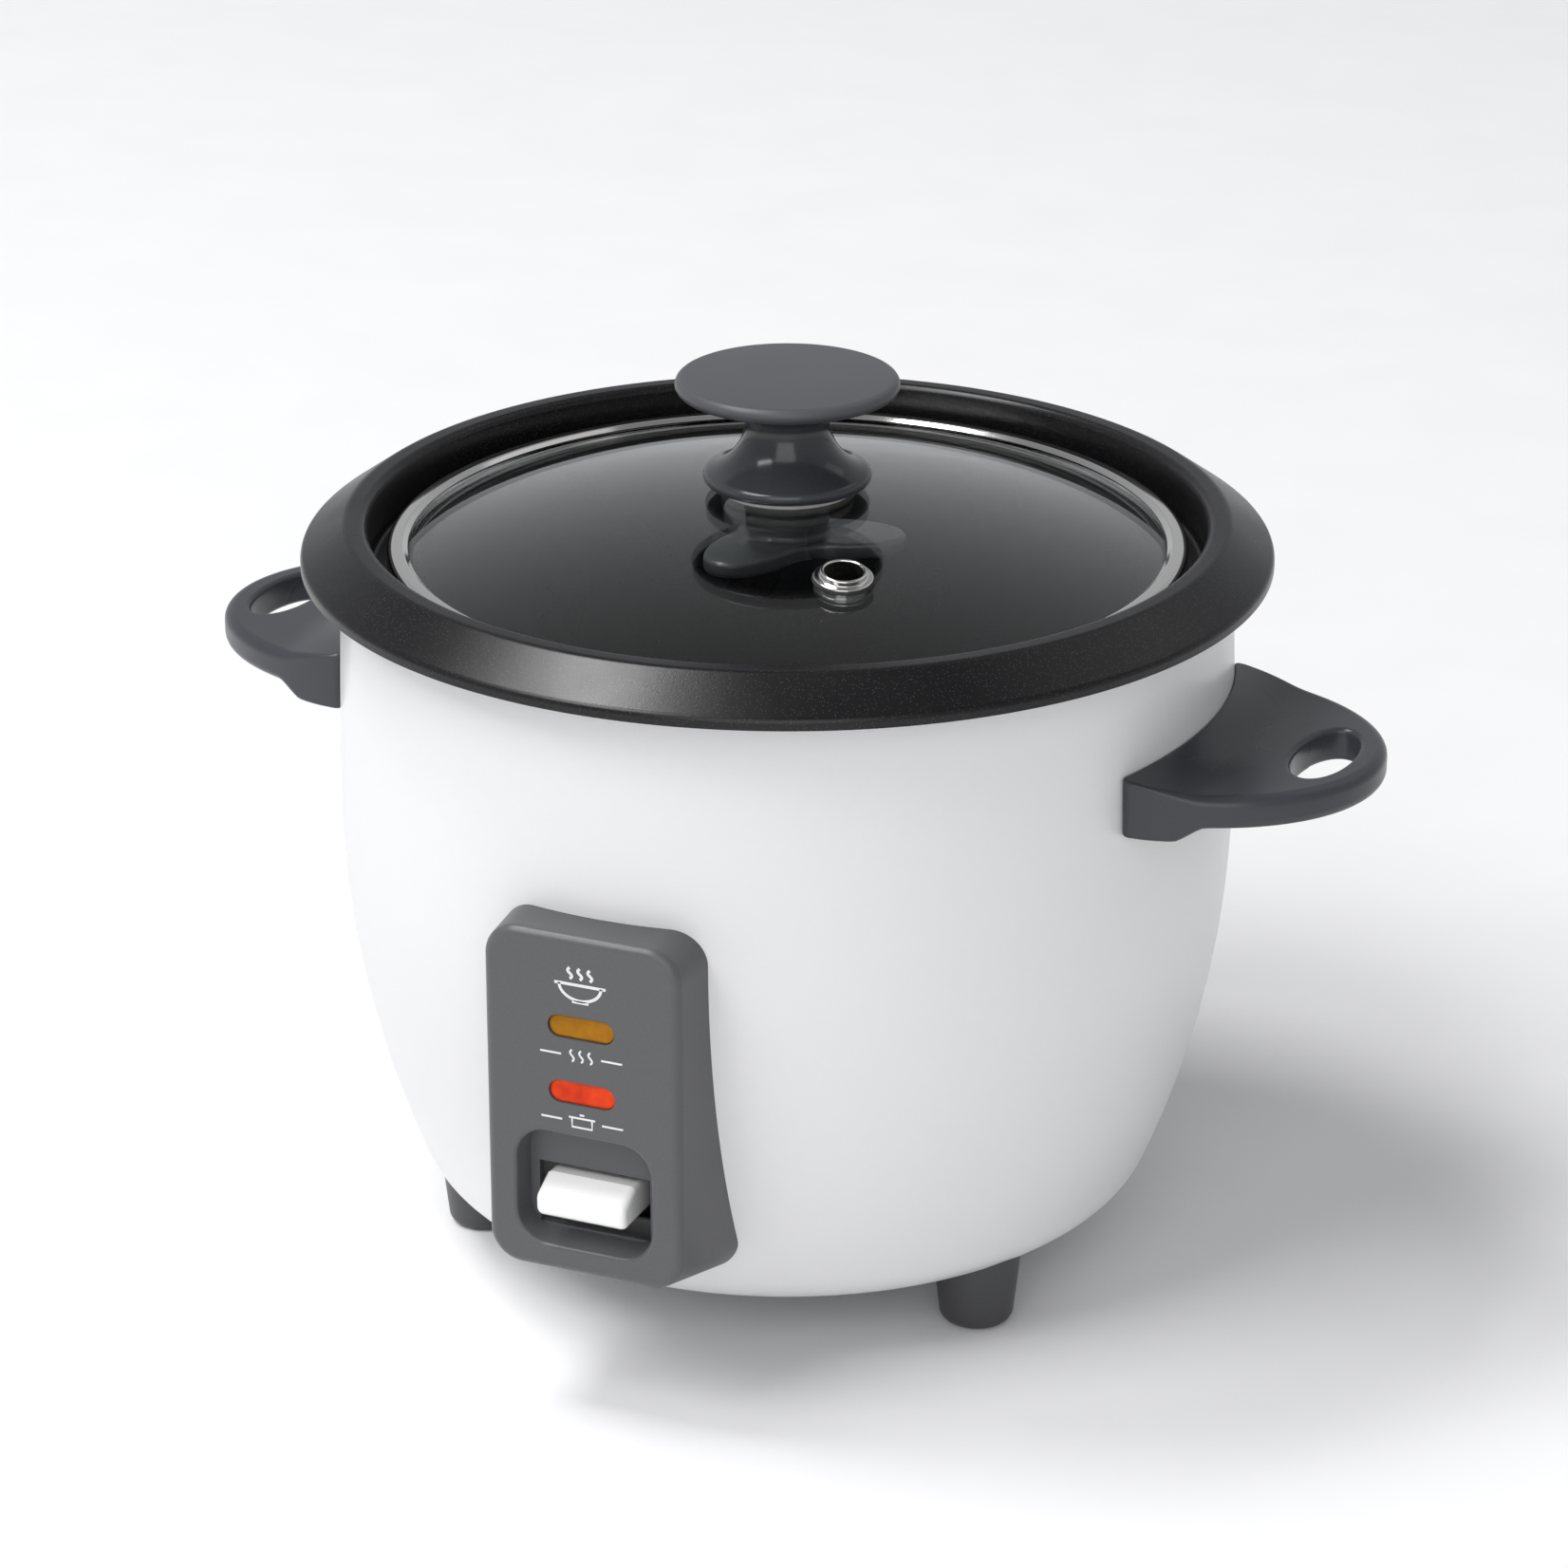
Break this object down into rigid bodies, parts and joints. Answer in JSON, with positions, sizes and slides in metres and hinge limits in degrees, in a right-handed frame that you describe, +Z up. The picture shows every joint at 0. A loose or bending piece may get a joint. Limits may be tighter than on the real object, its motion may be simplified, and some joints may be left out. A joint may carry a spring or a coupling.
{
  "type": "rice cooker",
  "caption": "Small drum rice cooker with a glass lid, lift-out non-stick pot, two side handles and a front panel with a press-down cook switch.",
  "frame": {"origin": "on the surface it stands on, under the middle of the body", "axes": "+Z up, the control panel faces -Y, the two handles stand out along +X and -X"},
  "size_m": [0.2624, 0.2102, 0.1919],
  "materials": {
    "white_paint": "smooth semi-gloss enamel",
    "liner_steel": "bright tin-plated sheet",
    "nonstick_black": "satin non-stick coating with fine pale speckle",
    "cast_aluminium": "machined face, cast edge",
    "sheathed_steel": "dull heater sheath",
    "plated_steel": "zinc-plated",
    "sensor_aluminium": "drawn, satin",
    "ferrite": "sintered, dull",
    "spring_steel": "bright wire",
    "galvanised_steel": "galvanised sheet",
    "lever_white": "glossy white moulding",
    "panel_grey": "fine-grained grey moulding",
    "handle_grey": "satin dark grey moulding",
    "knob_grey": "satin dark grey moulding",
    "foot_grey": "dark grey moulding",
    "black_plastic": "black moulding",
    "amber_plastic": "translucent amber",
    "red_plastic": "translucent orange-red, lit",
    "lamp_glass": "clear neon lamp",
    "tempered_glass": "clear tempered glass",
    "stainless": "polished stainless",
    "black_rubber": "soft rubber",
    "clear_silicone": "milky silicone",
    "brass_pins": "nickel-plated brass",
    "wire_sleeve": "braided glass sleeve",
    "fuse_case": "small metal-cased fuse"
  },
  "bodies": {
    "base": {"outer_shell": "white_paint", "inner_liner": "liner_steel", "heating_element": "sheathed_steel", "heating_plate": "cast_aluminium", "plate_legs": "plated_steel", "plate_screws": "plated_steel", "thermostat_frame": "plated_steel", "rivets": "plated_steel", "lever_pin": "plated_steel", "lever_bracket": "galvanised_steel", "microswitch": "black_plastic", "control_panel": "panel_grey", "amber_lens": "amber_plastic", "red_lens": "red_plastic", "lamp_holder": "black_plastic", "indicator_lamps": "lamp_glass", "panel_screws": "plated_steel", "handle_right": "handle_grey", "handle_left": "handle_grey", "handle_screws": "plated_steel", "foot_left": "foot_grey", "foot_right": "foot_grey", "foot_rear": "foot_grey", "foot_screws": "plated_steel", "base_plate": "galvanised_steel", "base_screws": "plated_steel", "power_inlet": "black_plastic", "inlet_pins": "brass_pins", "inlet_screws": "plated_steel", "supply_wire": "wire_sleeve", "switch_wire": "wire_sleeve", "fuse_leads": "wire_sleeve", "thermal_fuse": "fuse_case", "lamp_wires": "wire_sleeve"},
    "pot": {"inner_pot": "nonstick_black"},
    "lid": {"glass_lid": "tempered_glass", "lid_ring": "stainless", "steam_vent": "stainless", "vent_seal": "black_rubber", "lid_knob": "knob_grey", "knob_washer": "clear_silicone", "knob_nut": "knob_grey", "knob_screw": "plated_steel"},
    "sensor": {"sensor_cup": "sensor_aluminium", "ferrite_core": "ferrite", "sensor_spring": "spring_steel"},
    "magnet_carrier": {"magnet": "ferrite", "magnet_rod": "plated_steel", "magnet_spring": "spring_steel"},
    "switch_lever": {"lever_arm": "plated_steel", "lever_button": "lever_white"},
    "switch_plunger": {"microswitch_plunger": "lever_white"}
  },
  "joints": [
    {"name": "pot_lift", "type": "slide", "parent": "base", "child": "pot", "axis": [0, 0, 1], "range_m": [0, 0.12]},
    {"name": "lid_lift", "type": "slide", "parent": "pot", "child": "lid", "axis": [0, 0, 1], "range_m": [0, 0.06]},
    {"name": "sensor_press", "type": "slide", "parent": "base", "child": "sensor", "axis": [0, 0, 1], "range_m": [-0.0015, 0], "stiffness_N_per_m": 600, "springref_m": 0.002, "deforming": ["sensor_spring"]},
    {"name": "cook_switch", "type": "hinge", "parent": "base", "child": "switch_lever", "pos_m": [0, -0.052, 0.032], "axis": [1, 0, 0], "range_deg": [0, 5], "stiffness_Nm_per_rad": 1.2, "springref_deg": -3.44},
    {"name": "magnet_rise", "type": "slide", "parent": "base", "child": "magnet_carrier", "axis": [0, 0, 1], "range_m": [0, 0.0046], "deforming": ["magnet_spring"]},
    {"name": "plunger_travel", "type": "slide", "parent": "base", "child": "switch_plunger", "axis": [0, 0, 1], "range_m": [0, 0.0011]}
  ],
  "couplings": [
    {"joint": "magnet_rise", "follows": "cook_switch", "m_per_rad": 0.052},
    {"joint": "plunger_travel", "follows": "cook_switch", "m_per_rad": 0.012}
  ]
}
